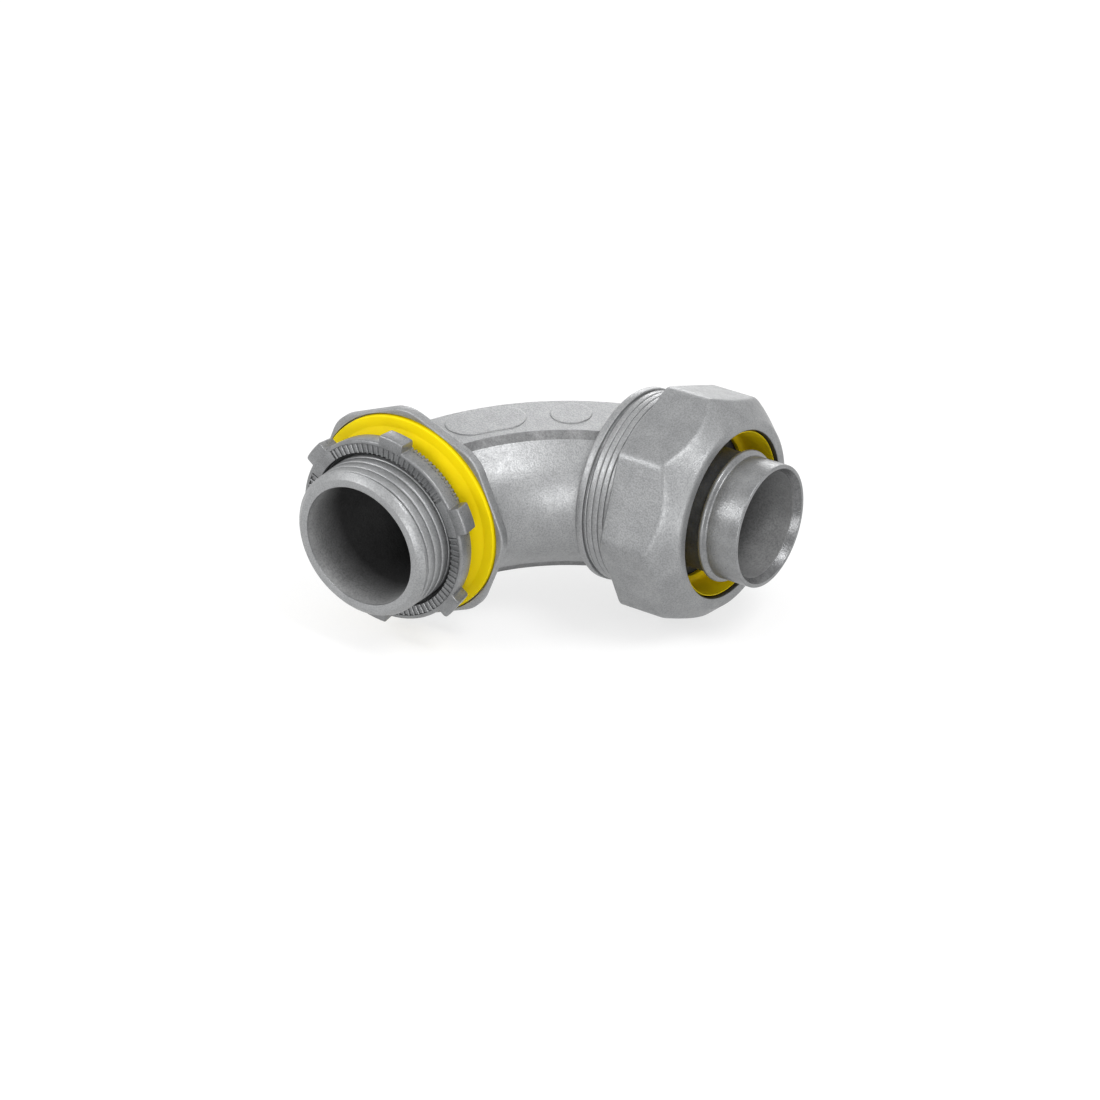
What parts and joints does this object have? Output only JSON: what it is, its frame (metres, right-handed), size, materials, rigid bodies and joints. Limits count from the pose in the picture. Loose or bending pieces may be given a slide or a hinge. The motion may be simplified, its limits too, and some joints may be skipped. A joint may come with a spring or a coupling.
{
  "type": "liquidtight conduit connector",
  "caption": "Right-angle liquidtight connector: threaded hub with locknut and sealing ring on one end, clamping gland nut over a ferrule for flexible conduit on the other.",
  "frame": {"origin": "centre of the flange's seating face, on the hub's axis", "axes": "-Y out of the threaded hub, +X out of the conduit end, +Z square to the plane of the bend"},
  "size_m": [0.0913, 0.0799, 0.0512],
  "materials": {
    "cast_zinc": "fine-grained satin zinc casting",
    "plated_steel": "zinc-plated, soft sheen",
    "yellow_seal": "smooth yellow elastomer",
    "yellow_ring": "moulded yellow plastic"
  },
  "bodies": {
    "elbow": {"body": "cast_zinc"},
    "gasket": {"hub_gasket": "yellow_seal"},
    "locknut": {"locknut": "plated_steel"},
    "ring": {"compression_ring": "yellow_ring"},
    "gland_nut": {"gland_nut": "cast_zinc"},
    "ferrule": {"ferrule": "plated_steel"}
  },
  "joints": [
    {"name": "locknut_turn", "type": "hinge", "parent": "elbow", "child": "gasket", "pos_m": [0, 0, 0], "axis": [0, 1, 0], "range_deg": [-1260, 470]},
    {"name": "locknut_travel", "type": "slide", "parent": "gasket", "child": "locknut", "axis": [0, 1, 0], "range_m": [-0.00775, 0.0029]},
    {"name": "gland_travel", "type": "slide", "parent": "elbow", "child": "ring", "axis": [1, 0, 0], "range_m": [0, 0.00565]},
    {"name": "gland_nut_turn", "type": "hinge", "parent": "ring", "child": "gland_nut", "pos_m": [0.049, 0.037, 0], "axis": [1, 0, 0], "range_deg": [0, 1440]},
    {"name": "ferrule_turn", "type": "hinge", "parent": "elbow", "child": "ferrule", "pos_m": [0.055, 0.037, 0], "axis": [1, 0, 0], "continuous": true}
  ],
  "couplings": [
    {"joint": "locknut_travel", "follows": "locknut_turn", "m_per_rad": 0.00035153},
    {"joint": "gland_travel", "follows": "gland_nut_turn", "m_per_rad": 0.00022459}
  ]
}
